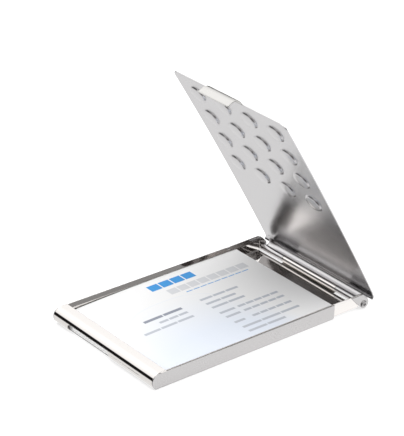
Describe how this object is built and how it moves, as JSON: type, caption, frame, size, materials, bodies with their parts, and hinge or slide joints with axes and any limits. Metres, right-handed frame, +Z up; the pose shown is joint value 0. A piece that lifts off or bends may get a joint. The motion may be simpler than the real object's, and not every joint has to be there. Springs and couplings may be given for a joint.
{
  "type": "business card case",
  "caption": "Slim hinged steel case for business cards: mirror tray in a satin shell, domed lid on a pin hinge, spring clip that snaps over the rolled front.",
  "frame": {"origin": "centre of the underside's rest face, midway along the case", "axes": "+X from the rolled front towards the hinge, +Y across the case, +Z up from the surface it lies on"},
  "size_m": [0.104, 0.0614, 0.0891],
  "materials": {
    "satin_shell": "fine satin, matt",
    "mirror_tray": "mirror polished stainless steel",
    "satin_lug": "fine satin",
    "pin_steel": "turned steel",
    "satin_lid": "fine satin, matt",
    "polished_clip": "mirror polished",
    "plain_card": "uncoated white card",
    "printed_card": "white card with a pale blue tint and abstract printed bars"
  },
  "bodies": {
    "base": {"outer_shell": "satin_shell", "inner_tray": "mirror_tray", "hinge_lug_near": "satin_lug", "hinge_lug_far": "satin_lug", "hinge_pin": "pin_steel", "pin_washer_near": "pin_steel", "pin_washer_far": "pin_steel", "card_1": "plain_card", "card_2": "plain_card", "card_3": "plain_card", "card_4": "plain_card", "card_5": "plain_card", "card_6": "plain_card", "card_7": "plain_card", "card_8": "plain_card"},
    "lid": {"lid_panel": "satin_lid", "lid_clip": "polished_clip"},
    "top_card": {"top_card": "printed_card"}
  },
  "joints": [
    {"name": "lid_hinge", "type": "hinge", "parent": "base", "child": "lid", "pos_m": [0.0498, 0, 0.0019], "axis": [0, 1, 0], "range_deg": [-59, 39]},
    {"name": "top_card_slide", "type": "slide", "parent": "base", "child": "top_card", "axis": [1, 0, 0], "range_m": [0, 0.008]}
  ]
}
